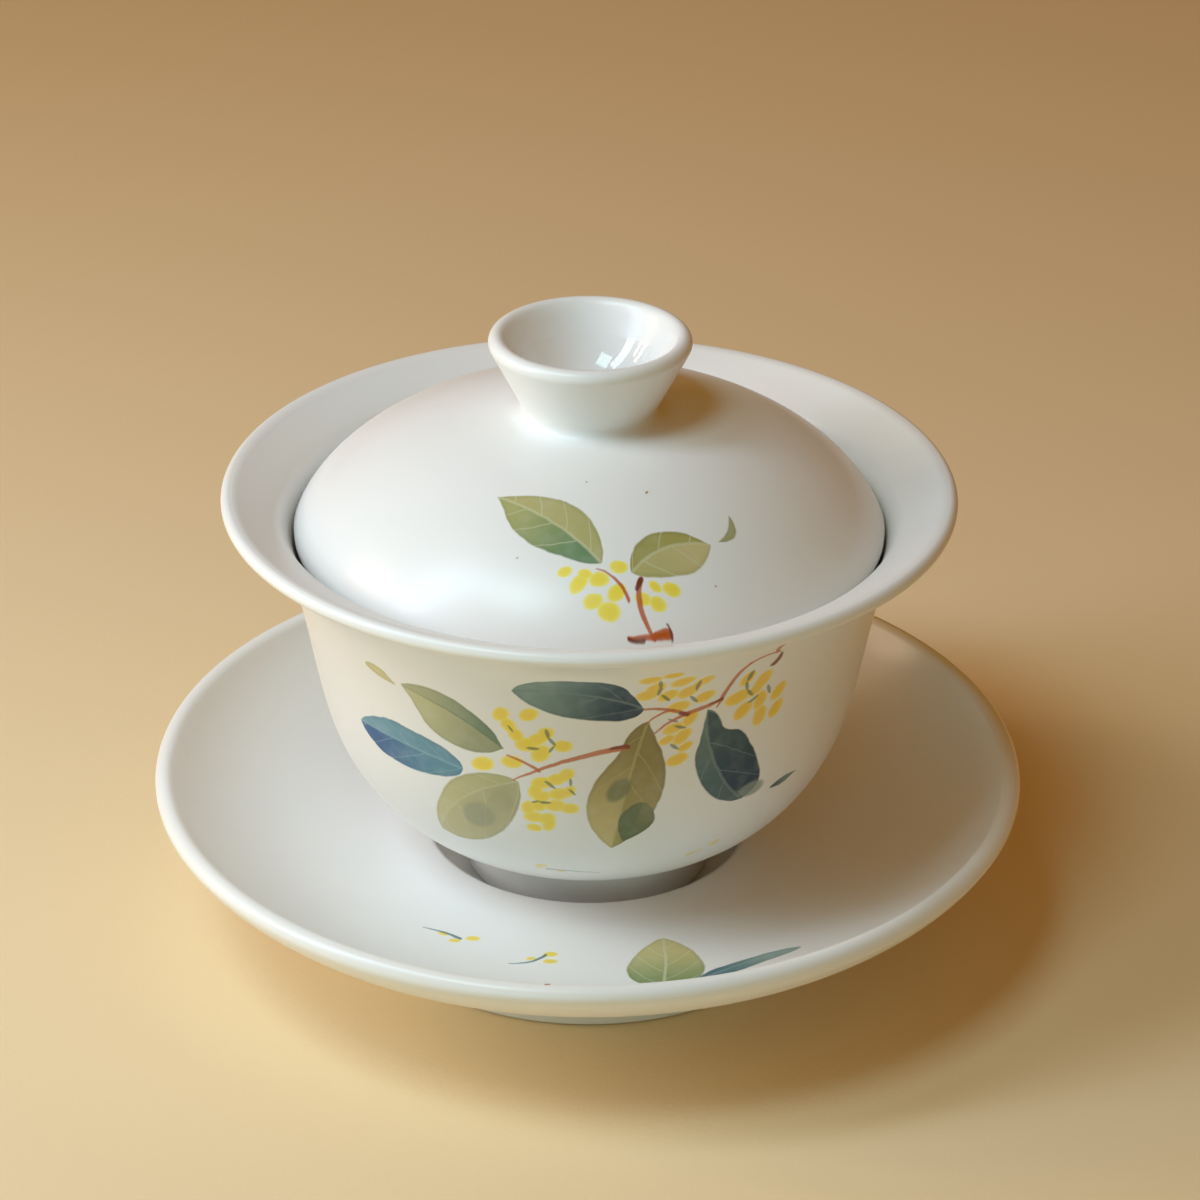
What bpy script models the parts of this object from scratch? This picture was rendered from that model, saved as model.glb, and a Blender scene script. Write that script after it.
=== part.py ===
"""A gaiwan: a lidded porcelain tea bowl that stands in the well of its own saucer.

Metres, +Z up. The origin is the point on the table under the middle of the saucer's foot ring. Each
piece is turned on the Z axis, as a potter throws and trims it, and comes away straight upwards.
"""
from math import cos, pi, radians, sin

import bmesh
import bpy
from mathutils import Vector
from mathutils.geometry import interpolate_bezier

TURN_STEPS = 48
CREASE_ANGLE = radians(35)
SAME_POINT = 0.00001
# Glazed pieces that rest on each other are kept this far apart.
REST_GAP = 0.0003
# The small round on every foot ring's edges.
FOOT_EDGE = 0.0006

# Saucer: a dish with an upturned rim, and a well that takes the bowl's foot.
SAUCER_RADIUS = 0.0609
SAUCER_LIP = 0.0014
SAUCER_LIP_HEIGHT = 0.02325
SAUCER_FOOT_RADIUS = 0.0325
SAUCER_FOOT_WIDTH = 0.0027
SAUCER_RECESS_DEPTH = 0.0048
SHOULDER_RADIUS = 0.0390
SHOULDER_HEIGHT = 0.0097
DISH_RADIUS = 0.0340
DISH_HEIGHT = 0.0124
WELL_RADIUS = 0.0223
WELL_FLOOR_HEIGHT = 0.0082
WELL_RIDGE_HEIGHT = 0.01375
WELL_EDGE = 0.0008

# Bowl: a small foot, a round belly, a neck that narrows, and a wide flange to hold it by.
BOWL_BASE_HEIGHT = WELL_FLOOR_HEIGHT + REST_GAP
BOWL_FOOT_RADIUS = 0.0173
BOWL_FOOT_WIDTH = 0.0025
BOWL_RECESS_DEPTH = 0.0035
FOOT_TOP_RADIUS = 0.0188
FOOT_TOP_HEIGHT = 0.0161
BELLY_RADIUS = 0.0366
BELLY_HEIGHT = 0.0355
NECK_RADIUS = 0.0409
NECK_HEIGHT = 0.0558
FLANGE_RADIUS = 0.0500
FLANGE_LIP = 0.00105
FLANGE_LIP_HEIGHT = 0.06605
SEAT_RADIUS = 0.0422
SEAT_HEIGHT = 0.0634
BOWL_INSIDE_RADIUS = 0.0382
BOWL_INSIDE_HEIGHT = 0.0510
BOWL_FLOOR_HEIGHT = 0.0162

# Lid: a dome that sits down inside the flange, and a knob that is a small flared cup.
LID_RADIUS = 0.0403
LID_EDGE = 0.0010
LID_EDGE_HEIGHT = 0.0606
DOME_HEIGHT = 0.0772
DOME_THICKNESS = 0.0026
KNOB_FOOT_RADIUS = 0.0116
KNOB_WAIST_RADIUS = 0.0094
KNOB_WAIST_HEIGHT = 0.0792
KNOB_RIM_RADIUS = 0.01365
KNOB_LIP = 0.0012
KNOB_LIP_HEIGHT = 0.08775
KNOB_FLOOR_HEIGHT = 0.0788

WHITE_PORCELAIN = (0.80, 0.80, 0.77, 1.0)
GLAZE_ROUGHNESS = 0.3


def remove_scene_objects():
    for old in list(bpy.data.objects):
        bpy.data.objects.remove(old, do_unlink=True)


def rounded(middle, bend, first, last, steps):
    """Points of an arc of the outline, from one angle to another in degrees."""
    radius, height = middle
    points = []
    for step in range(steps + 1):
        angle = radians(first + (last - first) * step / steps)
        points.append((radius + bend * cos(angle), height + bend * sin(angle)))
    return points


def swept(start, pull_out, pull_in, end, steps):
    """Points of a smooth stretch, whose handles are pulled this far from its start and its end."""
    first = Vector((*start, 0.0))
    last = Vector((*end, 0.0))
    leaving = first + Vector((*pull_out, 0.0))
    arriving = last + Vector((*pull_in, 0.0))
    return [(point.x, point.y) for point in interpolate_bezier(first, leaving, arriving, last, steps + 1)]


def foot_ring(outer_radius, width, base_height):
    """The ring a piece stands on: a flat land between two small rounds, from the inside out."""
    middle_height = base_height + FOOT_EDGE
    inner = (outer_radius - width + FOOT_EDGE, middle_height)
    outer = (outer_radius - FOOT_EDGE, middle_height)
    return rounded(inner, FOOT_EDGE, 180, 270, 2) + rounded(outer, FOOT_EDGE, 270, 350, 2)


def saucer_outline():
    recess_edge = SAUCER_FOOT_RADIUS - SAUCER_FOOT_WIDTH - 0.0010
    foot_top = (SAUCER_FOOT_RADIUS + 0.0001, 0.0030)
    shoulder = (SHOULDER_RADIUS, SHOULDER_HEIGHT)
    lip_middle = (SAUCER_RADIUS - SAUCER_LIP, SAUCER_LIP_HEIGHT)
    under_lip = (SAUCER_RADIUS - 0.0001, SAUCER_LIP_HEIGHT - 0.0006)
    over_lip = (SAUCER_RADIUS - 0.0026, SAUCER_LIP_HEIGHT + 0.0007)
    dish = (DISH_RADIUS, DISH_HEIGHT)
    ridge = (WELL_RADIUS + 0.0013, WELL_RIDGE_HEIGHT - 0.0001)
    ridge_middle = (WELL_RADIUS + WELL_EDGE, WELL_RIDGE_HEIGHT - WELL_EDGE)
    corner_middle = (WELL_RADIUS - WELL_EDGE, WELL_FLOOR_HEIGHT + WELL_EDGE)
    return [
        (0.0, SAUCER_RECESS_DEPTH),
        *rounded((recess_edge, SAUCER_RECESS_DEPTH - 0.0007), 0.0007, 90, 0, 2),
        *foot_ring(SAUCER_FOOT_RADIUS, SAUCER_FOOT_WIDTH, 0.0),
        *swept(foot_top, (0.0006, 0.0036), (-0.0040, -0.0013), shoulder, 4),
        *swept(shoulder, (0.0100, 0.0032), (-0.0030, -0.0054), under_lip, 6),
        *rounded(lip_middle, SAUCER_LIP, -5, 140, 4),
        *swept(over_lip, (-0.0028, -0.0060), (0.0130, 0.0007), dish, 6),
        *swept(dish, (-0.0050, -0.0003), (0.0024, -0.0006), ridge, 4),
        *rounded(ridge_middle, WELL_EDGE, 70, 180, 3),
        *rounded(corner_middle, WELL_EDGE, 0, -90, 2),
        (0.0, WELL_FLOOR_HEIGHT),
    ]


def bowl_outline():
    recess_height = BOWL_BASE_HEIGHT + BOWL_RECESS_DEPTH
    recess_edge = BOWL_FOOT_RADIUS - BOWL_FOOT_WIDTH - 0.0008
    cove = (FOOT_TOP_RADIUS - 0.0009, FOOT_TOP_HEIGHT - 0.0015)
    foot_top = (FOOT_TOP_RADIUS, FOOT_TOP_HEIGHT)
    belly = (BELLY_RADIUS, BELLY_HEIGHT)
    neck = (NECK_RADIUS, NECK_HEIGHT)
    lip_middle = (FLANGE_RADIUS - FLANGE_LIP, FLANGE_LIP_HEIGHT)
    under_lip = (FLANGE_RADIUS - 0.0008, FLANGE_LIP_HEIGHT - 0.00105)
    over_lip = (FLANGE_RADIUS - 0.0016, FLANGE_LIP_HEIGHT + 0.0010)
    seat = (SEAT_RADIUS, SEAT_HEIGHT)
    inside = (BOWL_INSIDE_RADIUS, BOWL_INSIDE_HEIGHT)
    floor_middle = (0.0, BOWL_FLOOR_HEIGHT)
    return [
        (0.0, recess_height),
        (recess_edge, recess_height),
        *foot_ring(BOWL_FOOT_RADIUS, BOWL_FOOT_WIDTH, BOWL_BASE_HEIGHT),
        cove,
        *swept(foot_top, (0.0084, 0.0021), (-0.0026, -0.0100), belly, 7),
        *swept(belly, (0.0019, 0.0075), (-0.0019, -0.0063), neck, 4),
        *swept(neck, (0.0014, 0.0045), (-0.0047, -0.0028), under_lip, 5),
        *rounded(lip_middle, FLANGE_LIP, -45, 110, 4),
        *swept(over_lip, (-0.0029, -0.0014), (0.0010, 0.00125), seat, 4),
        *swept(seat, (-0.0018, -0.0029), (0.0010, 0.0050), inside, 4),
        *swept(inside, (-0.0022, -0.0130), (0.0350, 0.0), floor_middle, 10),
    ]


def lid_outline():
    edge_middle = (LID_RADIUS - LID_EDGE, LID_EDGE_HEIGHT)
    inside_top = (0.0, DOME_HEIGHT - DOME_THICKNESS)
    inside_edge = (LID_RADIUS - 2.0 * LID_EDGE, LID_EDGE_HEIGHT + 0.0002)
    outside_edge = (LID_RADIUS, LID_EDGE_HEIGHT + 0.0007)
    knob_foot = (KNOB_FOOT_RADIUS, DOME_HEIGHT)
    waist = (KNOB_WAIST_RADIUS, KNOB_WAIST_HEIGHT)
    rim_middle = (KNOB_RIM_RADIUS - KNOB_LIP, KNOB_LIP_HEIGHT)
    inside_rim = (KNOB_RIM_RADIUS - 0.00245, KNOB_LIP_HEIGHT + 0.00035)
    cup_floor = (0.0, KNOB_FLOOR_HEIGHT)
    return [
        *swept(inside_top, (0.0140, 0.0), (-0.0071, 0.0096), inside_edge, 7),
        *rounded(edge_middle, LID_EDGE, 200, 345, 4),
        *swept(outside_edge, (-0.0033, 0.0083), (0.0119, -0.0003), knob_foot, 8),
        *swept(knob_foot, (-0.0020, 0.0), (-0.0004, -0.0008), waist, 3),
        *rounded(rim_middle, KNOB_LIP, -30, 150, 5),
        *swept(inside_rim, (-0.0032, -0.0076), (0.0050, 0.0), cup_floor, 5),
    ]


def porcelain(name):
    material = bpy.data.materials.new(name)
    material.use_nodes = True
    shader = material.node_tree.nodes["Principled BSDF"]
    shader.inputs["Base Color"].default_value = WHITE_PORCELAIN
    shader.inputs["Roughness"].default_value = GLAZE_ROUGHNESS
    shader.inputs["Metallic"].default_value = 0.0
    return material


def turned_piece(name, outline):
    """Turn an outline of (radius, height) points, which starts and ends on the axis, about Z."""
    shape = bmesh.new()
    points = [shape.verts.new((radius, 0.0, height)) for radius, height in outline]
    edges = [shape.edges.new(pair) for pair in zip(points, points[1:])]
    bmesh.ops.spin(
        shape,
        geom=points + edges,
        cent=(0.0, 0.0, 0.0),
        axis=(0.0, 0.0, 1.0),
        angle=2.0 * pi,
        steps=TURN_STEPS,
        use_merge=True,
    )
    bmesh.ops.remove_doubles(shape, verts=shape.verts[:], dist=SAME_POINT)
    bmesh.ops.recalc_face_normals(shape, faces=shape.faces[:])
    mesh = bpy.data.meshes.new(name)
    shape.to_mesh(mesh)
    shape.free()
    mesh.materials.append(porcelain(name + "_porcelain"))
    mesh.shade_smooth()
    mesh.set_sharp_from_angle(angle=CREASE_ANGLE)
    piece = bpy.data.objects.new(name, mesh)
    bpy.context.scene.collection.objects.link(piece)


remove_scene_objects()
turned_piece("saucer", saucer_outline())
turned_piece("bowl", bowl_outline())
turned_piece("lid", lid_outline())
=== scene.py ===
"""A porcelain gaiwan in its finished glazes: saucer, bowl and lid, with a painted osmanthus spray.

Everything is in metres, +Z up, with the middle of the saucer's foot ring on the table at the origin.
The painting is laid out in millimetres on the glaze.
"""
from math import cos, hypot, pi, radians, sin

import bmesh
import bpy
from mathutils import Matrix, Vector
from mathutils.geometry import interpolate_bezier


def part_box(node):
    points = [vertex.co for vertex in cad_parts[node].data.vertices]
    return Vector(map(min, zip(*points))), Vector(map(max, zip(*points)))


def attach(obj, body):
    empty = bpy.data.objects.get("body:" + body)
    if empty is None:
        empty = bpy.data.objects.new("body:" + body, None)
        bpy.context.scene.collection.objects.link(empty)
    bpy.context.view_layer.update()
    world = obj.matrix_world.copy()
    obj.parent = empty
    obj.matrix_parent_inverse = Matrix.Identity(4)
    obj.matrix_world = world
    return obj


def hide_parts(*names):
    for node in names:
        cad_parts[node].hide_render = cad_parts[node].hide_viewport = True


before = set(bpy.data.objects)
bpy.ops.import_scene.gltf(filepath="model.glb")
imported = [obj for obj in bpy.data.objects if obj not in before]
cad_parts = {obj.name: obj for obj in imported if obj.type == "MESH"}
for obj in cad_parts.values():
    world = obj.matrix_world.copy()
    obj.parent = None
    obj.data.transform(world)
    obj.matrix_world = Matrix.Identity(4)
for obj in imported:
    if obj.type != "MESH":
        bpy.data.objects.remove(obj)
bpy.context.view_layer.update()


# ---------------------------------------------------------------------------------------------------
# Camera: a long lens close to the table, looking down on the lid, with its top leaning a little to one
# side as a hand-set tripod does.
CAMERA_DISTANCE = 0.498
CAMERA_DOWN = radians(27.69)
CAMERA_LEAN = radians(0.42)
LENS = 108.0
AIM = Vector((0.00154, 0.0, 0.04875))

camera_data = bpy.data.cameras.new("camera")
camera_data.lens = LENS
camera_data.sensor_width = 36.0
camera_data.clip_start = 0.01
camera = bpy.data.objects.new("camera", camera_data)
back_off = CAMERA_DISTANCE * Vector((0.0, -cos(CAMERA_DOWN), sin(CAMERA_DOWN)))
upright = Matrix.Rotation(pi / 2.0 - CAMERA_DOWN, 4, "X")
camera.matrix_world = Matrix.Translation(AIM + back_off) @ upright @ Matrix.Rotation(CAMERA_LEAN, 4, "Z")
bpy.context.scene.collection.objects.link(camera)
bpy.context.scene.camera = camera


# ---------------------------------------------------------------------------------------------------
# Studio: a tall soft lamp close by on the left for the main light, with a low warm window behind it in two
# panes, two weaker blue-green lamps in front, one high and one low, and a warm room.
LAMP_COLOUR = (0.64, 0.80, 1.0)
WINDOW_COLOUR = (1.0, 0.76, 0.53)
FRONT_COLOUR = (0.66, 0.95, 1.0)
LOW_COLOUR = (0.34, 0.95, 1.0)
ROOM_COLOUR = (1.0, 0.45, 0.055)
ROOM_LIGHT = 0.235


def soft_light(name, turn, lift, distance, size, power, colour, shift=0.0):
    """A lamp aimed at the piece, turn degrees round from the front, to the left, and lift degrees up."""
    ahead = Vector((-sin(radians(turn)), -cos(radians(turn)), 0.0)) * cos(radians(lift))
    place = AIM + distance * (ahead + Vector((0.0, 0.0, sin(radians(lift)))))
    light_data = bpy.data.lights.new(name, "AREA")
    light_data.shape = "RECTANGLE"
    light_data.size, light_data.size_y = size
    light_data.energy = power
    light_data.color = colour
    light = bpy.data.objects.new(name, light_data)
    facing = (place - AIM).to_track_quat("Z", "Y").to_matrix().to_4x4()
    light.matrix_world = Matrix.Translation(place) @ facing @ Matrix.Translation((shift, 0.0, 0.0))
    bpy.context.scene.collection.objects.link(light)


soft_light("lamp", 72, 38, 0.40, (0.08, 0.34), 0.92, LAMP_COLOUR)
soft_light("window_near", 95, 17, 0.80, (0.06, 0.45), 1.10, WINDOW_COLOUR, -0.06)
soft_light("window_far", 95, 17, 0.80, (0.06, 0.45), 0.90, WINDOW_COLOUR, 0.06)
soft_light("high_front", 40, 60, 0.80, (0.24, 0.24), 1.60, FRONT_COLOUR)
soft_light("low_front", 15, 8, 0.80, (0.40, 0.40), 0.86, LOW_COLOUR)

room = bpy.data.worlds.new("room")
room.use_nodes = True
room.node_tree.nodes["Background"].inputs["Color"].default_value = (*ROOM_COLOUR, 1.0)
room.node_tree.nodes["Background"].inputs["Strength"].default_value = ROOM_LIGHT
bpy.context.scene.world = room
bpy.context.scene.view_settings.view_transform = "Standard"


# ---------------------------------------------------------------------------------------------------
# Table top: one wide sheet of pale cream paper with a fine tooth.
TABLE_SIZE = 6.0
TABLE_COLOUR = (0.91, 0.725, 0.45, 1.0)
TOOTH_SCALE = 1400.0
TOOTH_DEPTH = 0.0001


class Wire:
    """A socket of a shader. Arithmetic on it adds Math nodes, and add() puts in any other node."""

    def __init__(self, tree, socket=None):
        self.tree = tree
        self.socket = socket

    def add(self, kind, settings=None, sockets=None, output=0):
        node = self.tree.nodes.new("ShaderNode" + kind)
        for setting, value in (settings or {}).items():
            if setting == "curve":
                draw_curve(node.mapping, value)
            else:
                setattr(node, setting, value)
        for name, value in (sockets or {}).items():
            if isinstance(value, Wire):
                self.tree.links.new(value.socket, node.inputs[name])
            else:
                node.inputs[name].default_value = value
        return Wire(self.tree, node.outputs[output])

    def math(self, operation, first, second=0.0):
        return self.add("Math", {"operation": operation}, {0: first, 1: second})

    def __add__(self, other):
        return self.math("ADD", self, other)

    def __sub__(self, other):
        return self.math("SUBTRACT", self, other)

    def __mul__(self, other):
        return self.math("MULTIPLY", self, other)

    def __rsub__(self, other):
        return self.math("SUBTRACT", other, self)

    __radd__ = __add__
    __rmul__ = __mul__

    def __abs__(self):
        return self.math("ABSOLUTE", self)

    def least(self, other):
        return self.math("MINIMUM", self, other)

    def most(self, other):
        return self.math("MAXIMUM", self, other)

    def ramp(self, start, end):
        """0 at start and 1 at end, which may be the lower of the two, with a smooth step between."""
        return self.add("MapRange", {"interpolation_type": "SMOOTHSTEP"}, {0: self, 1: start, 2: end})

    def dot(self, other):
        return self.add("VectorMath", {"operation": "DOT_PRODUCT"}, {0: self, 1: other}, 1)

    def parts(self):
        split = self.add("SeparateXYZ", None, {0: self})
        return [Wire(self.tree, socket) for socket in split.socket.node.outputs]

    def under(self, colour, mask):
        """This colour with another laid over it where the mask is 1."""
        return self.add("Mix", {"data_type": "RGBA"}, {0: mask, 6: self, 7: colour}, 2)


def draw_curve(mapping, points):
    """Sets a Float Curve node to pass through points, in place of its straight line."""
    curve = mapping.curves[0]
    for place, (x, y) in zip(curve.points[:], (points[0], points[-1])):
        place.location = (x, y)
    for x, y in points[1:-1]:
        curve.points.new(x, y)
    mapping.update()


def new_shader(name):
    """A new material, a loose wire to start its nodes from, and its shader node."""
    material = bpy.data.materials.new(name)
    material.use_nodes = True
    return material, Wire(material.node_tree), material.node_tree.nodes["Principled BSDF"]


def feed(shader, name, wire):
    wire.tree.links.new(wire.socket, shader.inputs[name])


table = bmesh.new()
bmesh.ops.create_grid(table, x_segments=2, y_segments=2, size=TABLE_SIZE / 2.0)
table_mesh = bpy.data.meshes.new("table_top")
table.to_mesh(table_mesh)
table.free()
table_top = bpy.data.objects.new("table_top", table_mesh)
bpy.context.scene.collection.objects.link(table_top)
paper, wire, shader = new_shader("cream_paper")
place = wire.add("TexCoord", output="Object")
tooth = place.add("TexNoise", None, {"Vector": place, "Scale": TOOTH_SCALE, "Detail": 3.0})
feed(shader, "Normal", tooth.add("Bump", None, {"Strength": 0.25, "Distance": TOOTH_DEPTH, "Height": tooth}))
shader.inputs["Base Color"].default_value = TABLE_COLOUR
shader.inputs["Roughness"].default_value = 0.9
shader.inputs["Specular IOR Level"].default_value = 0.2
table_mesh.materials.append(paper)


# ---------------------------------------------------------------------------------------------------
# Saucer: thrown and trimmed porcelain, with an upturned rim, a crisp ridge round the well that takes the
# bowl's foot, and a foot ring that is wiped bare before it is fired. Two sprigs and two leaves are
# painted inside the rim, and there is a small iron spot on the lip.
FOOT_EDGE = 0.0006
SAUCER_LIP = 0.0014
FOOT_RADIUS = 0.0325
FOOT_WIDTH = 0.0027
RECESS_DEPTH = 0.0048
WELL_RADIUS = 0.0223
WELL_FLOOR = 0.0082
WELL_RIDGE = 0.01375
WELL_EDGE = 0.0007
SAUCER_PANELS = ((-24.0, 0.0), (0.0, 30.0))
TURN_STEPS = 192
TO_MM = 1000.0

WHITE = (0.905, 0.905, 0.885, 1.0)
COOL_WHITE = (0.885, 0.895, 0.885, 1.0)
BISCUIT = (0.74, 0.68, 0.58, 1.0)
CLOUD_SCALE = 45.0
SKIN_SCALE = 220.0
WAVE_SCALE = 90.0
WAVE_DEPTH = 0.0002
SATIN_ROUGHNESS = 0.27
SKIN_SPREAD = 0.08
MIRROR_ROUGHNESS = 0.05
DRY_ROUGHNESS = 0.8
BARE_EDGE = 0.3
LINE_WANDER = 0.34
WASH_LOSS = 0.08


def rounded(middle, bend, first, last, steps=8):
    """Points of an arc of the outline, from one angle to another in degrees."""
    radius, height = middle
    points = []
    for step in range(steps + 1):
        angle = radians(first + (last - first) * step / steps)
        points.append((radius + bend * cos(angle), height + bend * sin(angle)))
    return points


def swept(start, pull_out, pull_in, end, steps=18):
    """Points of a smooth stretch, whose handles are pulled this far from its start and its end."""
    first = Vector((*start, 0.0))
    last = Vector((*end, 0.0))
    leaving = first + Vector((*pull_out, 0.0))
    arriving = last + Vector((*pull_in, 0.0))
    return [(point.x, point.y) for point in interpolate_bezier(first, leaving, arriving, last, steps + 1)]


def foot_ring(outer_radius, width, base_height):
    """The ring a piece stands on: a flat land between two small rounds, from the inside out."""
    middle_height = base_height + FOOT_EDGE
    inner = (outer_radius - width + FOOT_EDGE, middle_height)
    outer = (outer_radius - FOOT_EDGE, middle_height)
    return rounded(inner, FOOT_EDGE, 180, 270, 5) + rounded(outer, FOOT_EDGE, 270, 350, 5)


def reaches(outline, start):
    """How far along the outline each of its points is, in mm past the one nearest to start."""
    lengths = [0.0]
    for (radius, height), (next_radius, next_height) in zip(outline, outline[1:]):
        lengths.append(lengths[-1] + TO_MM * hypot(next_radius - radius, next_height - height))
    gaps = [hypot(radius - start[0], height - start[1]) for radius, height in outline]
    zero = lengths[gaps.index(min(gaps))]
    return [length - zero for length in lengths]


def turned(name, outline, start):
    """Turns an outline about Z. Each point keeps how far it is along the outline past start."""
    shape = bmesh.new()
    rise = shape.verts.layers.float.new("rise")
    points = [shape.verts.new((radius, 0.0, height)) for radius, height in outline]
    for point, length in zip(points, reaches(outline, start)):
        point[rise] = length
    edges = [shape.edges.new(pair) for pair in zip(points, points[1:])]
    bmesh.ops.spin(
        shape,
        geom=points + edges,
        cent=(0.0, 0.0, 0.0),
        axis=(0.0, 0.0, 1.0),
        angle=2.0 * pi,
        steps=TURN_STEPS,
        use_merge=True,
    )
    bmesh.ops.remove_doubles(shape, verts=shape.verts[:], dist=0.000005)
    bmesh.ops.recalc_face_normals(shape, faces=shape.faces[:])
    mesh = bpy.data.meshes.new(name)
    shape.to_mesh(mesh)
    shape.free()
    mesh.shade_smooth()
    piece = bpy.data.objects.new(name, mesh)
    bpy.context.scene.collection.objects.link(piece)
    return piece


def chart(red, green, blue):
    """A pigment as it reads on a colour chart, 0 to 255, fired under the glaze."""
    parts = [part / 255.0 for part in (red, green, blue)]
    return (*[part / 12.92 if part < 0.04 else ((part + 0.055) / 1.055) ** 2.4 for part in parts], 1.0)


def misses(place, points, margin):
    """True where the brush keeps off the panel that is being painted, which then needs no nodes for it."""
    sides = [point[0] for point in points]
    low, high = place.span
    return max(sides) + margin < low or min(sides) - margin > high


def stretch(place, start, end):
    """How far places are along a line, 0 at its start and 1 at its end, and across it to its left."""
    run = Vector((end[0] - start[0], end[1] - start[1]))
    length = run.length
    run.normalize()
    start = Vector(start)
    along = (run.x / length, run.y / length, -run.dot(start) / length)
    across = (-run.y, run.x, run.y * start.x - run.x * start.y)
    return [place.dot(along), place.dot(across), length]


def leaf(ground, place, base, tip, bow, left, right, tints, vein=None, spacing=4.0, slant=0.8, soft=0.3):
    """Paints a leaf in two blades over the ground, with its middle vein left bare between them.

    bow is how far the vein bows to the left on its way from base to tip. left and right are each
    blade's width at even steps. tints are the left blade's at base and tip, then the right blade's.
    """
    widest = max(left + right)
    if misses(place, (base, tip), widest + abs(bow)):
        return ground
    along, across, length = stretch(place, base, tip)
    across = across - along * (1.0 - along) * (4.0 * bow)
    off_vein = abs(across)
    side = across.math("GREATER_THAN", across, 0.0)
    blades = []
    for blade in (right, left):
        stops = [(step / (len(blade) - 1), width / widest) for step, width in enumerate(blade)]
        blades.append(along.add("FloatCurve", {"curve": stops}, {1: along}) * widest)
    inside = along.add("Mix", {}, {0: side, 2: blades[0], 3: blades[1]}) - off_vein
    fade = along.ramp(0.1, 0.9)
    left_tint = along.add("Mix", {"data_type": "RGBA"}, {0: fade, 6: tints[0], 7: tints[1]}, 2)
    right_tint = along.add("Mix", {"data_type": "RGBA"}, {0: fade, 6: tints[2], 7: tints[3]}, 2)
    colour = right_tint.under(left_tint, side)
    colour = colour.add("Mix", {"data_type": "RGBA", "blend_type": "MULTIPLY"},
                        {0: inside.ramp(0.9, 0.15) * 0.35, 6: colour, 7: POOLED}, 2)
    if vein:
        curved = off_vein * (off_vein * 0.09 + slant)
        ribs = along * (length / spacing) - curved * (1.0 / spacing) + side * 0.45
        rib = abs(ribs.math("FRACT", ribs) - 0.5)
        lines = rib.ramp(0.17 / spacing, 0.05 / spacing).most(off_vein.ramp(0.27, 0.12))
        colour = colour.under(vein, lines * 0.55)
    return ground.under(colour, inside.ramp(0.0, soft))


def stroke(ground, place, start, end, bow, first_width, last_width, colour, strength=0.9):
    """Paints one curved brush stroke, which widens or tapers from start to end."""
    if misses(place, (start, end), first_width + last_width + abs(bow)):
        return ground
    along, across, length = stretch(place, start, end)
    across = across - along * (1.0 - along) * (4.0 * bow)
    past_end = (abs(along - 0.5) - 0.5).most(0.0) * length
    apart = along.add("CombineXYZ", None, {0: across, 1: past_end})
    apart = apart.add("VectorMath", {"operation": "LENGTH"}, {0: apart}, 1)
    width = along * ((last_width - first_width) / 2.0) + first_width / 2.0
    mask = (apart - width).ramp(0.12, -0.12) * strength
    return ground.under(colour, mask)


def dabs(ground, place, marks, long, wide, colour, heart, strength=0.92):
    """Paints short dabs of the brush, each at a place and a turn in degrees, fuller at the heart."""
    nearest = None
    for across, up, turn, *size in marks:
        if misses(place, ((across, up),), long):
            continue
        scale = size[0] if size else 1.0
        lean = Vector((cos(radians(turn)), sin(radians(turn)))) * (scale * long / 2.0)
        along, _, _ = stretch(place, (across, up), (across + lean.x, up + lean.y))
        lean = Vector((-sin(radians(turn)), cos(radians(turn)))) * (scale * wide / 2.0)
        aside, _, _ = stretch(place, (across, up), (across + lean.x, up + lean.y))
        apart = along * along + aside * aside
        nearest = nearest.least(apart) if nearest else apart
    if nearest is None:
        return ground
    tint = nearest.add("Mix", {"data_type": "RGBA"}, {0: nearest.ramp(1.0, 0.1), 6: colour, 7: heart}, 2)
    return ground.under(tint, nearest.ramp(1.4, 0.64) * strength)


def blot(ground, place, middle, turn, long, wide, colour, strength=0.6):
    """Lets a soft-edged drop of pigment run into the ground."""
    if misses(place, (middle,), long):
        return ground
    along = (middle[0] + cos(radians(turn)) * long / 2.0, middle[1] + sin(radians(turn)) * long / 2.0)
    aside = (middle[0] - sin(radians(turn)) * wide / 2.0, middle[1] + cos(radians(turn)) * wide / 2.0)
    first, second = [stretch(place, middle, end)[0] for end in (along, aside)]
    return ground.under(colour, (first * first + second * second).ramp(1.32, 0.5) * strength)


def brushwork(flat, clean, paint, span):
    """Paints one panel, in a node group. The line wanders a little, and the washes thin here and there."""
    group = bpy.data.node_groups.new("painted_panel", "ShaderNodeTree")
    group.interface.new_socket("place", in_out="INPUT", socket_type="NodeSocketVector")
    group.interface.new_socket("clean", in_out="INPUT", socket_type="NodeSocketColor")
    group.interface.new_socket("painted", in_out="OUTPUT", socket_type="NodeSocketColor")
    sockets = group.nodes.new("NodeGroupInput").outputs
    place = Wire(group, sockets[0])
    ground = Wire(group, sockets[1])
    shake = place.add("TexNoise", None, {"Vector": place, "Scale": 0.55, "Detail": 2.0}, "Color")
    shake = shake.add("VectorMath", {"operation": "SUBTRACT"}, {0: shake, 1: (0.5, 0.5, 0.0)})
    wander = (LINE_WANDER, LINE_WANDER, 0.0)
    shaken = shake.add("VectorMath", {"operation": "MULTIPLY_ADD"}, {0: shake, 1: wander, 2: place})
    shaken.span = span
    wash = place.add("TexNoise", None, {"Vector": place, "Scale": 0.40, "Detail": 2.0})
    painted = ground.under(paint(ground, shaken), wash.ramp(0.2, 0.6) * WASH_LOSS + (1.0 - WASH_LOSS))
    group.links.new(painted.socket, group.nodes.new("NodeGroupOutput").inputs[0])
    return flat.add("Group", {"node_tree": group}, {0: flat, 1: clean})


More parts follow.
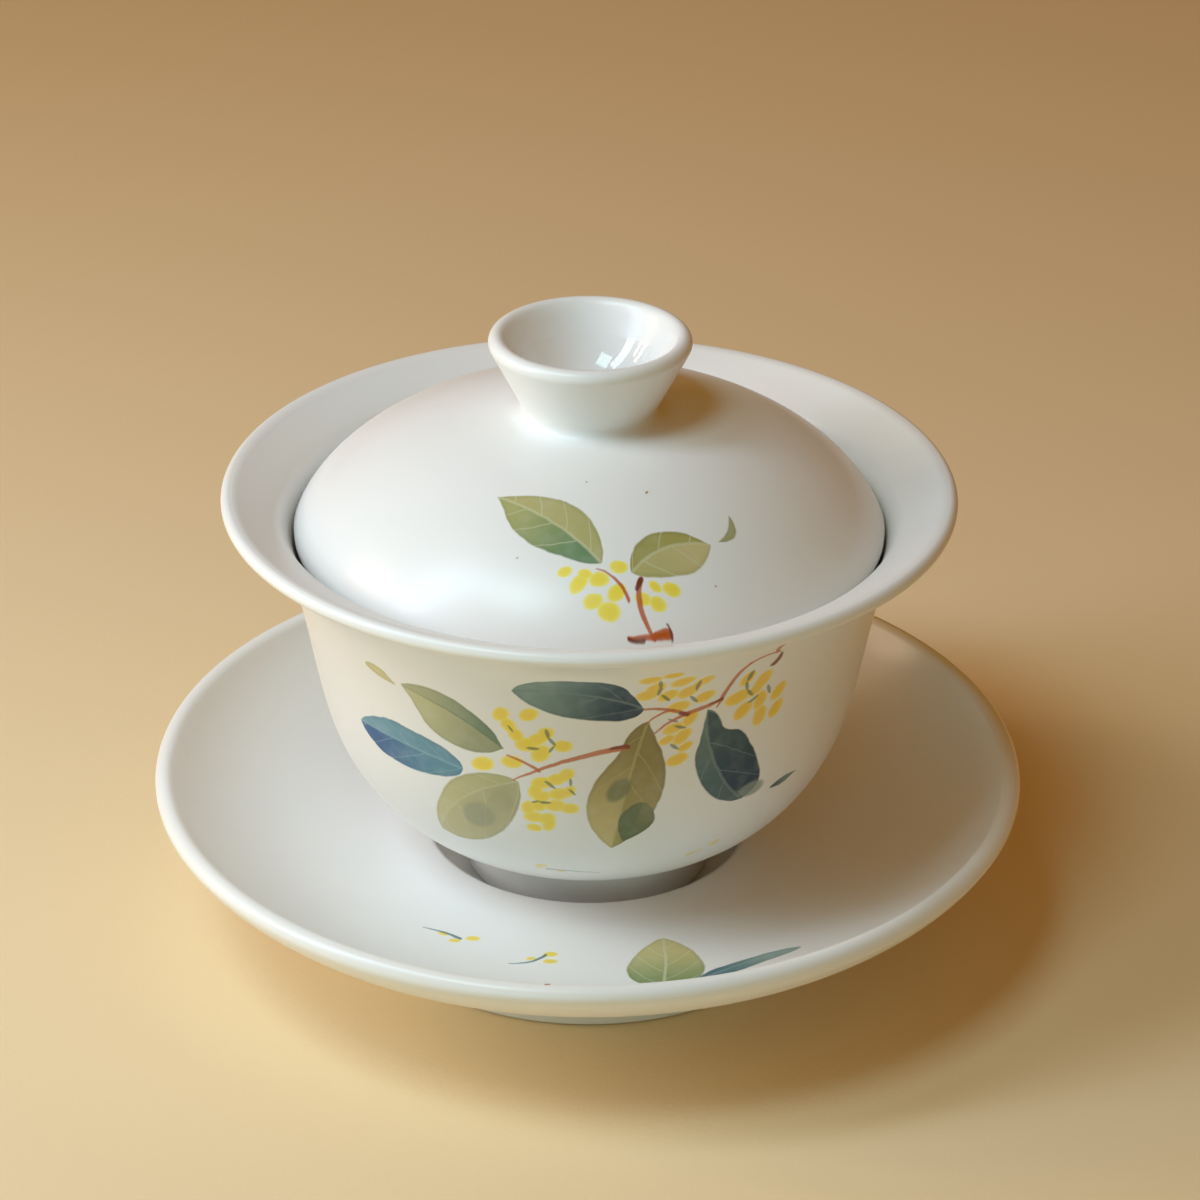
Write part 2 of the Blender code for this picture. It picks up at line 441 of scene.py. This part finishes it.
def laid_flat(place, rise):
    """Where a place is on a painting that is seen from above, in mm. Its third part is always 1."""
    scale = (TO_MM, TO_MM, 0.0)
    return place.add("VectorMath", {"operation": "MULTIPLY_ADD"}, {0: place, 1: scale, 2: (0.0, 0.0, 1.0)})


def glaze(name, paint, lay_out, face, rows, panels, bare=None, glossy=None):
    """White porcelain glaze: faint clouding, an uneven satin skin, and the decoration.

    lay_out gives places on the painting, which is inside face, its stretch of the outline, and rows, its
    bottom and top. It is painted in panels from side to side, so that a place takes only its own panel's
    nodes. bare is the stretch without glaze, and glossy is where the mirror shine starts.
    """
    material, wire, shader = new_shader(name)
    place = wire.add("TexCoord", output="Object")
    rise = wire.add("Attribute", {"attribute_name": "rise"}, output="Fac")
    clouds = place.add("TexNoise", None, {"Vector": place, "Scale": CLOUD_SCALE, "Detail": 2.0})
    white = clouds.add("Mix", {"data_type": "RGBA"}, {0: clouds.ramp(0.3, 0.7), 6: WHITE, 7: COOL_WHITE}, 2)
    skin = place.add("TexNoise", None, {"Vector": place, "Scale": SKIN_SCALE, "Detail": 2.0})
    roughness = skin * SKIN_SPREAD + SATIN_ROUGHNESS
    if glossy is not None:
        shine = rise.ramp(glossy, glossy + 1.0)
        roughness = roughness * (1.0 - shine) + shine * MIRROR_ROUGHNESS
    waves = place.add("TexNoise", None, {"Vector": place, "Scale": WAVE_SCALE, "Detail": 1.0})
    bump = waves.add("Bump", None, {"Strength": 0.3, "Distance": WAVE_DEPTH, "Height": waves})
    colour = white
    if bare:
        dry = rise.ramp(bare[0], bare[0] + BARE_EDGE) * rise.ramp(bare[1], bare[1] - BARE_EDGE)
        colour = colour.under(BISCUIT, dry)
        roughness = roughness * (1.0 - dry) + dry * DRY_ROUGHNESS
    dress(shader, colour, roughness, bump)
    flat = lay_out(place, rise)
    across, up, _ = flat.parts()
    on_face = within(rise, face) * within(up, rows)
    shown = Wire(wire.tree, shader.outputs[0])
    for span in panels:
        painted = wire.add("BsdfPrincipled")
        dress(painted.socket.node, brushwork(flat, white, paint, span), roughness, bump)
        here = within(across, span) * on_face
        shown = shown.add("MixShader", None, {0: here, 1: shown, 2: painted})
    feed(wire.tree.nodes["Material Output"], "Surface", shown)
    return material


def within(wire, span):
    """1 between the two ends of a span, and 0 outside it."""
    return wire.math("GREATER_THAN", wire, span[0]) * wire.math("LESS_THAN", wire, span[1])


def dress(shader, colour, roughness, bump):
    feed(shader, "Base Color", colour)
    feed(shader, "Roughness", roughness)
    feed(shader, "Normal", bump)


POOLED = chart(196, 206, 204)
YELLOW = chart(250, 234, 100)
DEEP_YELLOW = chart(248, 220, 56)
TEAL_LINE = chart(62, 112, 118)
IRON = chart(168, 108, 44)
PALE_VEIN = chart(224, 224, 194)

saucer_low, saucer_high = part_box("saucer")
saucer_rim = saucer_high.x
lip_height = saucer_high.z - SAUCER_LIP


def saucer_outline():
    recess_edge = FOOT_RADIUS - FOOT_WIDTH - 0.0010
    foot_top = (FOOT_RADIUS + 0.0001, 0.0030)
    shoulder = (0.0390, 0.0097)
    lip_middle = (saucer_rim - SAUCER_LIP, lip_height)
    under_lip = (saucer_rim - 0.0001, lip_height - 0.0006)
    over_lip = (saucer_rim - 0.0026, lip_height + 0.0007)
    dish = (0.0340, 0.0124)
    ridge = (WELL_RADIUS + 0.0013, WELL_RIDGE - 0.0001)
    return [
        (0.0, RECESS_DEPTH),
        *rounded((recess_edge, RECESS_DEPTH - 0.0007), 0.0007, 90, 0, 4),
        *foot_ring(FOOT_RADIUS, FOOT_WIDTH, saucer_low.z),
        *swept(foot_top, (0.0006, 0.0036), (-0.0040, -0.0013), shoulder, 12),
        *swept(shoulder, (0.0100, 0.0032), (-0.0030, -0.0054), under_lip),
        *rounded(lip_middle, SAUCER_LIP, -5, 140, 12),
        *swept(over_lip, (-0.0028, -0.0060), (0.0130, 0.0007), dish),
        *swept(dish, (-0.0050, -0.0003), (0.0024, -0.0006), ridge, 12),
        *rounded((WELL_RADIUS + WELL_EDGE, WELL_RIDGE - WELL_EDGE), WELL_EDGE, 70, 180),
        *rounded((WELL_RADIUS - WELL_EDGE, WELL_FLOOR + WELL_EDGE), WELL_EDGE, 0, -90),
        (0.0, WELL_FLOOR),
    ]


def saucer_painting(ground, flat):
    sprigs = ((-19.4, -28.7, -20, 0.8), (-17.8, -30.5, -10, 0.8), (-15.4, -29.8, 0))
    sprigs += ((-7.4, -34.8, 15, 0.7), (-4.8, -33.6, 5), (-4.8, -35.5, 0))
    ground = dabs(ground, flat, sprigs, 2.0, 1.3, YELLOW, DEEP_YELLOW)
    ground = dabs(ground, flat, ((-4.8, -59.0, 10),), 0.8, 0.5, IRON, IRON, 0.8)
    ground = stroke(ground, flat, (-22.2, -27.3), (-17.1, -29.9), 0.3, 0.15, 0.6, TEAL_LINE)
    ground = stroke(ground, flat, (-10.3, -36.4), (-5.5, -33.9), -0.7, 0.15, 0.6, TEAL_LINE)
    olive = chart(212, 204, 144)
    green = chart(134, 156, 102)
    ground = leaf(
        ground, flat, (10.2, -43.6), (10.4, -29.2), -0.4,
        (0.0, 4.0, 5.0, 5.3, 4.8, 3.9, 2.5, 0.0), (0.0, 4.4, 5.2, 5.4, 5.0, 4.3, 3.0, 0.0),
        (green, olive, green, olive), PALE_VEIN, 4.6, 0.9,
    )
    blue = chart(48, 108, 122)
    pale_blue = chart(146, 176, 170)
    ground = leaf(
        ground, flat, (14.6, -42.4), (29.0, -33.8), 1.0,
        (0.0, 1.1, 1.4, 1.3, 1.2, 1.1, 1.1, 0.9, 0.0), (0.0, 1.4, 1.8, 1.9, 1.8, 1.6, 1.4, 1.1, 0.0),
        (blue, pale_blue, blue, pale_blue), chart(150, 178, 188), 9.0, 2.4,
    )
    return ground


saucer_start = (saucer_rim - SAUCER_LIP, saucer_high.z)
saucer_line = saucer_outline()
saucer_land = [
    length
    for (radius, height), length in zip(saucer_line, reaches(saucer_line, saucer_start))
    if height < FOOT_EDGE and radius < FOOT_RADIUS + FOOT_EDGE
]
saucer = turned("saucer_porcelain", saucer_line, saucer_start)
saucer_bare = (saucer_land[0], saucer_land[-1])
saucer.data.materials.append(glaze(
    "saucer_glaze", saucer_painting, laid_flat, (-1.5, 60.0), (-62.0, -25.0), SAUCER_PANELS, saucer_bare
))
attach(saucer, "saucer")
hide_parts("saucer")


# ---------------------------------------------------------------------------------------------------
# Bowl: a thin thrown bowl on a small trimmed foot, with a wide flange to hold it by. The osmanthus
# branch on its front is painted in five greens and blues, with dabbed yellow blossom and brown twigs.
BOWL_FOOT_RADIUS = 0.0173
BOWL_FOOT_WIDTH = 0.0025
BOWL_RECESS = 0.0035
FLANGE_LIP = 0.00105
WRAP_RADIUS = 38.0
BOWL_PANELS = ((-37.0, -17.0), (-17.0, -1.5), (-1.5, 11.5), (11.5, 35.0))

bowl_low, bowl_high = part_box("bowl")
flange = bowl_high.x
flange_height = bowl_high.z - FLANGE_LIP


def bowl_outline():
    recess = bowl_low.z + BOWL_RECESS
    belly = (0.0366, 0.0355)
    neck = (0.0409, 0.0558)
    lip_middle = (flange - FLANGE_LIP, flange_height)
    under_lip = (flange - 0.0008, flange_height - 0.00105)
    over_lip = (flange - 0.0016, flange_height + 0.0010)
    seat = (0.0422, 0.0634)
    inside = (0.0382, 0.0510)
    floor_middle = (0.0, 0.0162)
    return [
        (0.0, recess),
        (BOWL_FOOT_RADIUS - BOWL_FOOT_WIDTH - 0.0008, recess),
        *foot_ring(BOWL_FOOT_RADIUS, BOWL_FOOT_WIDTH, bowl_low.z),
        *swept((0.0179, 0.0146), (0.0001, 0.0009), (-0.0006, -0.0003), (0.0188, 0.0161), 6),
        *swept((0.0188, 0.0161), (0.0084, 0.0021), (-0.0026, -0.0100), belly, 22),
        *swept(belly, (0.0019, 0.0075), (-0.0019, -0.0063), neck, 14),
        *swept(neck, (0.0014, 0.0045), (-0.0047, -0.0028), under_lip, 14),
        *rounded(lip_middle, FLANGE_LIP, -45, 110, 10),
        *swept(over_lip, (-0.0029, -0.0014), (0.0010, 0.00125), seat, 12),
        *swept(seat, (-0.0018, -0.0029), (0.0010, 0.0050), inside, 12),
        *swept(inside, (-0.0022, -0.0130), (0.0350, 0.0), floor_middle, 30),
    ]


def wrapped(place, rise):
    """Where a place is on a painting that goes round the bowl and up its wall, in mm."""
    x, y, _ = place.parts()
    return x.add("CombineXYZ", None, {0: x.math("ARCTAN2", x, y * -1.0) * WRAP_RADIUS, 1: rise, 2: 1.0})


def bowl_painting(ground, flat):
    russet = chart(200, 108, 42)
    dark_russet = chart(136, 58, 18)

    # Blossom, dabbed in first
    left_blossom = (
        (-10.7, 52.2, 60), (-7.2, 52.7, 40), (-9.8, 50.4, 115), (-9.0, 49.0, 115), (-7.6, 47.5, 10, 1.2),
        (-6.2, 48.6, 30), (-5.2, 49.6, 50), (-5.9, 46.2, 60, 1.2), (-3.1, 47.7, 10), (-13.8, 43.1, 25, 1.2),
        (-9.7, 44.3, 10, 1.1), (-2.7, 42.8, 50), (-4.0, 42.0, 25), (-5.9, 41.2, 15, 1.1), (-6.8, 39.6, 70),
        (-6.0, 38.8, 20), (-3.6, 39.5, 15, 1.1), (-2.3, 40.0, 60, 0.8), (-7.9, 36.6, 80), (-6.4, 37.2, 30),
        (-4.2, 37.4, 15, 1.1), (-2.3, 37.0, 0), (-7.2, 35.0, 10, 1.1), (-5.5, 34.9, 25), (-5.2, 33.8, 70),
        (-7.3, 32.9, 0, 0.8),
    )
    ground = dabs(ground, flat, left_blossom, 2.7, 1.9, chart(255, 236, 80), chart(254, 224, 44))
    right_blossom = (
        (7.3, 59.5, 10), (9.9, 60.2, 5, 0.9), (11.3, 58.3, 20, 1.1), (14.1, 57.8, 30, 0.9),
        (8.0, 57.3, 55, 1.2), (7.2, 56.4, 20, 1.1), (9.7, 55.9, 30), (12.2, 56.1, 30, 1.1),
        (13.2, 56.9, 45, 0.8), (14.5, 54.7, 25), (11.2, 53.6, 15, 1.1), (12.9, 51.2, 60),
        (20.1, 56.2, 60), (22.5, 55.1, 60, 1.2), (21.8, 53.8, 60),
        (19.2, 53.1, 15, 1.3), (20.3, 50.5, 50, 1.2), (22.7, 51.5, 80, 1.1), (23.1, 48.7, 85, 1.2),
        (25.5, 52.0, 60, 1.1), (25.7, 49.0, 65, 1.1), (10.8, 49.9, 20), (12.1, 48.3, 50, 1.1),
        (10.1, 48.1, 30, 0.8), (12.7, 46.5, 35, 0.8), (11.7, 44.5, 20, 1.1),
    )
    ground = dabs(ground, flat, right_blossom, 2.8, 1.7, chart(255, 224, 52), chart(252, 210, 20))
    stray = (
        (17.1, 24.2, 25), (18.6, 24.4, 10, 0.6), (20.7, 25.8, 35),
        (-7.3, 23.2, 0, 1.2), (-7.9, 22.4, 10, 0.7), (-4.3, 21.6, 0, 0.8),
    )
    ground = dabs(ground, flat, stray, 1.9, 0.9, chart(246, 226, 110), chart(244, 216, 84), 0.7)

    # Leaves, left to right
    pale = chart(214, 205, 150)
    ground = leaf(
        ground, flat, (-25.6, 52.5), (-30.6, 54.0), -0.3,
        (0.0, 0.8, 1.0, 0.9, 0.0), (0.0, 0.5, 0.9, 0.9, 0.0), (pale, pale, pale, pale),
    )
    ground = leaf(
        ground, flat, (-10.8, 46.3), (-24.9, 53.0), -1.1,
        (0.0, 3.0, 4.4, 5.1, 5.3, 4.9, 3.5, 1.6, 0.0), (0.0, 1.4, 2.0, 2.3, 2.6, 2.6, 2.3, 1.5, 0.0),
        (chart(160, 165, 130), chart(198, 197, 153), chart(119, 142, 118), chart(180, 182, 146)),
    )
    ground = stroke(ground, flat, (-10.9, 46.4), (-24.4, 52.8), -1.1, 0.35, 0.15, chart(112, 124, 96), 0.6)
    blue_vein = chart(146, 182, 194)
    ground = leaf(
        ground, flat, (-16.7, 41.4), (-34.9, 42.5), -0.6,
        (0.0, 2.6, 3.4, 4.0, 4.3, 4.2, 3.9, 2.8, 0.0), (0.0, 2.3, 2.8, 3.0, 3.2, 3.2, 2.6, 1.7, 0.0),
        (chart(98, 148, 166), chart(58, 98, 150), chart(106, 150, 170), chart(112, 158, 176)),
        blue_vein, 5.5, 1.3,
    )
    ground = leaf(
        ground, flat, (-8.9, 41.1), (-23.1, 27.9), -2.2,
        (0.0, 3.6, 5.7, 6.9, 7.5, 7.3, 6.3, 4.4, 0.0), (0.0, 2.3, 3.0, 3.2, 3.1, 2.6, 2.1, 1.4, 0.0),
        (chart(184, 180, 138), chart(198, 190, 142), chart(190, 186, 138), chart(206, 198, 148)),
        chart(208, 204, 168), 5.4, 0.5, 0.4,
    )
    ground = blot(ground, flat, (-15.4, 33.6), 40, 5.6, 4.6, chart(154, 157, 134))
    ground = blot(ground, flat, (-11.8, 37.0), 60, 4.6, 3.4, chart(168, 168, 126), 0.5)
    dark_teal = chart(12, 56, 78)
    misty_green = chart(128, 154, 148)
    ground = leaf(
        ground, flat, (7.0, 53.9), (-9.1, 56.7), -1.6,
        (0.0, 3.0, 3.9, 4.4, 4.6, 4.4, 3.7, 2.4, 0.0), (0.0, 1.7, 3.0, 3.3, 3.0, 2.8, 2.5, 2.0, 0.0),
        (dark_teal, misty_green, dark_teal, misty_green), chart(116, 142, 140), 5.5, 1.3,
    )
    olive = chart(172, 157, 90)
    dark_olive = chart(147, 132, 70)
    ground = leaf(
        ground, flat, (7.6, 51.8), (3.6, 28.8), -0.4,
        (0.0, 1.9, 3.7, 4.8, 5.2, 4.9, 4.2, 2.6, 0.0), (0.0, 2.0, 2.5, 3.6, 4.6, 4.9, 4.4, 2.8, 0.0),
        (dark_olive, olive, dark_olive, chart(206, 188, 124)), chart(190, 180, 128), 5.2, 0.9,
    )
    ground = blot(ground, flat, (4.2, 40.2), 60, 4.6, 2.8, chart(114, 118, 68), 0.8)
    deep_green = chart(104, 118, 80)
    ground = leaf(
        ground, flat, (7.6, 37.8), (5.1, 30.2), 0.3,
        (0.0, 2.2, 2.7, 2.2, 1.2, 0.0), (0.0, 2.0, 2.6, 2.3, 1.4, 0.0),
        (chart(128, 130, 84), deep_green, chart(110, 120, 78), deep_green), None,
    )
    ground = leaf(
        ground, flat, (15.1, 52.4), (22.5, 34.6), -1.8,
        (0.0, 1.9, 2.6, 5.0, 5.6, 5.7, 5.4, 4.7, 0.0), (0.0, 0.5, 1.3, 2.4, 2.8, 3.0, 2.9, 2.3, 0.0),
        (chart(56, 86, 90), chart(14, 52, 74), chart(100, 126, 120), chart(64, 95, 98)),
        chart(126, 148, 144), 5.6, 0.9,
    )
    ground = blot(ground, flat, (24.0, 35.9), 0, 4.6, 2.6, chart(140, 157, 148), 0.8)
    ground = leaf(
        ground, flat, (27.6, 34.4), (33.2, 35.2), 0.1,
        (0.0, 0.6, 0.7, 0.5, 0.0), (0.0, 0.6, 0.8, 0.5, 0.0),
        (chart(70, 102, 104), misty_green, chart(70, 102, 104), misty_green), None,
    )

    # Sepals and the thin lines that join the blossom
    accents = (
        (-4.9, 49.7, 100), (-4.4, 48.4, 120), (-4.5, 47.1, 60, 0.8), (-6.9, 47.0, 0),
        (-9.6, 49.9, 120, 0.7), (-4.8, 41.0, 140, 1.1), (-2.1, 41.6, 90, 0.8), (-1.9, 39.9, 130, 0.8),
        (-5.6, 37.8, 0), (-6.9, 37.8, 20, 0.7),
        (8.6, 58.3, 95), (8.6, 56.9, 80), (9.4, 55.5, 130), (13.4, 57.0, 80, 1.1), (13.1, 54.6, 130),
        (20.4, 56.6, 75, 1.3), (20.2, 54.8, 100), (20.9, 53.4, 130), (21.6, 52.0, 30),
        (23.8, 53.0, 110, 1.1),
        (10.7, 51.3, 150, 0.9), (11.7, 50.0, 160), (11.2, 46.8, 140),
    )
    ground = dabs(ground, flat, accents, 1.7, 0.5, chart(112, 132, 96), chart(72, 98, 76), 0.7)
    ground = stroke(ground, flat, (-6.6, 22.1), (2.2, 21.3), 0.2, 0.4, 0.15, misty_green, 0.7)

    # Twigs, from the thin ends to the thick
    twigs = (
        ((-9.7, 41.2), (4.9, 47.5), 0.9, 0.25, 1.0), ((-10.3, 45.3), (-6.2, 43.3), 0.2, 0.3, 0.5),
        ((7.0, 53.8), (12.2, 52.2), 0.4, 0.4, 0.6), ((7.3, 51.2), (10.6, 53.2), 0.4, 0.25, 0.5),
        ((8.4, 49.5), (12.6, 52.2), 0.3, 0.25, 0.6), ((12.2, 52.1), (16.9, 53.5), -0.1, 0.8, 0.5),
        ((16.9, 53.5), (19.7, 59.5), 0.3, 0.6, 0.55), ((19.7, 59.5), (23.2, 60.6), 0.45, 0.55, 0.6),
        ((16.9, 53.5), (16.4, 52.3), 0.0, 0.5, 0.2), ((23.0, 60.5), (22.4, 63.8), 0.2, 0.5, 0.9),
    )
    for start, end, bow, first_width, last_width in twigs:
        ground = stroke(ground, flat, start, end, bow, first_width, last_width, russet)
    dark_ends = (
        ((3.0, 47.3), (5.0, 47.6), 0.1, 0.4, 0.8), ((11.6, 52.4), (12.5, 52.0), 0.0, 0.6, 0.6),
        ((23.9, 59.8), (23.6, 57.8), 0.2, 0.5, 1.0), ((15.4, 53.1), (16.9, 53.6), 0.0, 0.2, 0.5),
    )
    for start, end, bow, first_width, last_width in dark_ends:
        ground = stroke(ground, flat, start, end, bow, first_width, last_width, dark_russet)
    return ground


bowl = turned("bowl_porcelain", bowl_outline(), (BOWL_FOOT_RADIUS, bowl_low.z + FOOT_EDGE))
bowl_bare = (-TO_MM * BOWL_FOOT_WIDTH, 0.0)
bowl.data.materials.append(glaze(
    "bowl_glaze", bowl_painting, wrapped, (19.0, 66.0), (19.0, 66.0), BOWL_PANELS, bowl_bare
))
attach(bowl, "bowl")
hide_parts("bowl")


# ---------------------------------------------------------------------------------------------------
# Lid: a thrown dome with its knob, a small flared cup, luted on before the glaze. A short twig with two
# leaves, a curl of a third and round yellow buds is painted on its front, among a few specks. The cup's
# inside is glossier than the rest.
LID_EDGE = 0.0010
CUP_POINTS = 18
DOME_HEIGHT = 0.0772
KNOB_LIP = 0.0012
KNOB_RIM = 0.01365

LID_VEIN = chart(208, 208, 172)
RUSSET = chart(192, 88, 16)
DARK_RUSSET = chart(110, 38, 8)

lid_low, lid_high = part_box("lid")
lid_rim = lid_high.x
lid_edge_height = lid_low.z + LID_EDGE
knob_lip_height = lid_high.z - KNOB_LIP


def lid_outline():
    edge_middle = (lid_rim - LID_EDGE, lid_edge_height)
    inside_edge = (lid_rim - 2.0 * LID_EDGE, lid_edge_height + 0.0002)
    outside_edge = (lid_rim, lid_edge_height + 0.0007)
    knob_foot = (0.0116, DOME_HEIGHT)
    waist = (0.0094, 0.0792)
    inside_rim = (KNOB_RIM - 0.00245, knob_lip_height + 0.00035)
    return [
        *swept((0.0, DOME_HEIGHT - 0.0026), (0.0140, 0.0), (-0.0071, 0.0096), inside_edge, 24),
        *rounded(edge_middle, LID_EDGE, 200, 345, 12),
        *swept(outside_edge, (-0.0033, 0.0083), (0.0119, -0.0003), knob_foot, 28),
        *swept(knob_foot, (-0.0020, 0.0), (-0.0004, -0.0008), waist, 8),
        *rounded((KNOB_RIM - KNOB_LIP, knob_lip_height), KNOB_LIP, -30, 150, 14),
        *swept(inside_rim, (-0.0032, -0.0076), (0.0050, 0.0), (0.0, 0.0788), 20),
    ]


def lid_painting(ground, flat):
    buds = (
        (-3.0, -32.7, 10, 0.8), (-0.4, -33.0, 0, 0.75), (-1.2, -34.1, 40, 1.1), (1.4, -33.6, 5, 1.05),
        (3.9, -32.0, 0, 0.95), (3.6, -34.9, 30, 1.05), (0.7, -35.9, 10), (2.7, -36.8, 0, 1.15),
        (8.6, -33.7, -20, 0.7), (10.7, -33.6, 0, 0.95), (7.0, -35.2, 0, 0.8), (8.9, -35.4, 0, 0.9),
    )
    ground = dabs(ground, flat, buds, 2.5, 1.6, chart(252, 238, 84), chart(250, 226, 40))
    specks = ((-0.3, -19.2, 0, 0.6), (7.5, -20.6, 60), (-9.1, -30.4, 20, 0.5), (16.4, -31.8, 0, 0.5))
    ground = dabs(ground, flat, specks, 0.6, 0.35, IRON, IRON, 0.8)
    olive = chart(174, 174, 122)
    ground = leaf(
        ground, flat, (1.8, -31.8), (-12.1, -20.6), -0.5,
        (0.0, 1.9, 2.9, 3.7, 4.1, 3.9, 3.1, 1.5, 0.0), (0.0, 2.3, 3.3, 3.8, 3.7, 3.2, 2.3, 1.1, 0.0),
        (chart(106, 142, 102), chart(174, 174, 114), chart(180, 177, 120), chart(186, 180, 124)),
        LID_VEIN, 4.2, 0.7,
    )
    ground = leaf(
        ground, flat, (5.5, -32.6), (15.8, -26.9), 1.2,
        (0.0, 1.9, 2.4, 2.5, 2.3, 2.0, 1.6, 0.8, 0.0), (0.0, 1.8, 2.7, 3.4, 3.8, 3.9, 3.4, 2.2, 0.0),
        (chart(164, 160, 90), chart(172, 166, 96), chart(184, 178, 118), chart(204, 192, 138)),
        LID_VEIN, 4.4, 0.6,
    )
    ground = leaf(
        ground, flat, (16.5, -26.3), (18.1, -21.7), -1.0,
        (0.0, 0.4, 0.5, 0.4, 0.0), (0.0, 0.7, 0.9, 0.8, 0.0), (olive, olive, olive, olive),
    )
    twigs = (
        ((1.1, -32.4), (5.2, -35.5), 0.6, 0.15, 0.5, RUSSET),
        ((6.6, -33.4), (8.4, -38.3), -0.8, 0.8, 0.5, RUSSET),
        ((5.2, -38.75), (10.4, -37.75), -0.1, 0.25, 0.6, RUSSET),
        ((6.7, -33.3), (6.2, -34.3), 0.0, 0.7, 0.5, DARK_RUSSET),
        ((5.2, -38.8), (7.2, -38.7), -0.1, 0.3, 0.35, DARK_RUSSET),
        ((8.6, -38.1), (10.5, -37.6), 0.1, 0.5, 0.7, RUSSET),
        ((10.1, -37.0), (10.8, -37.9), 0.1, 0.2, 0.35, DARK_RUSSET),
    )
    for start, end, bow, first_width, last_width, colour in twigs:
        ground = stroke(ground, flat, start, end, bow, first_width, last_width, colour)
    return ground


lid_line = lid_outline()
lid_start = (lid_rim, lid_edge_height)
cup_rise = reaches(lid_line, lid_start)[-CUP_POINTS]
lid = turned("lid_porcelain", lid_line, lid_start)
lid.data.materials.append(glaze(
    "lid_glaze", lid_painting, laid_flat, (1.0, 30.0), (-41.0, -18.0), ((-14.0, 20.0),), glossy=cup_rise
))
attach(lid, "lid")
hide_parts("lid")
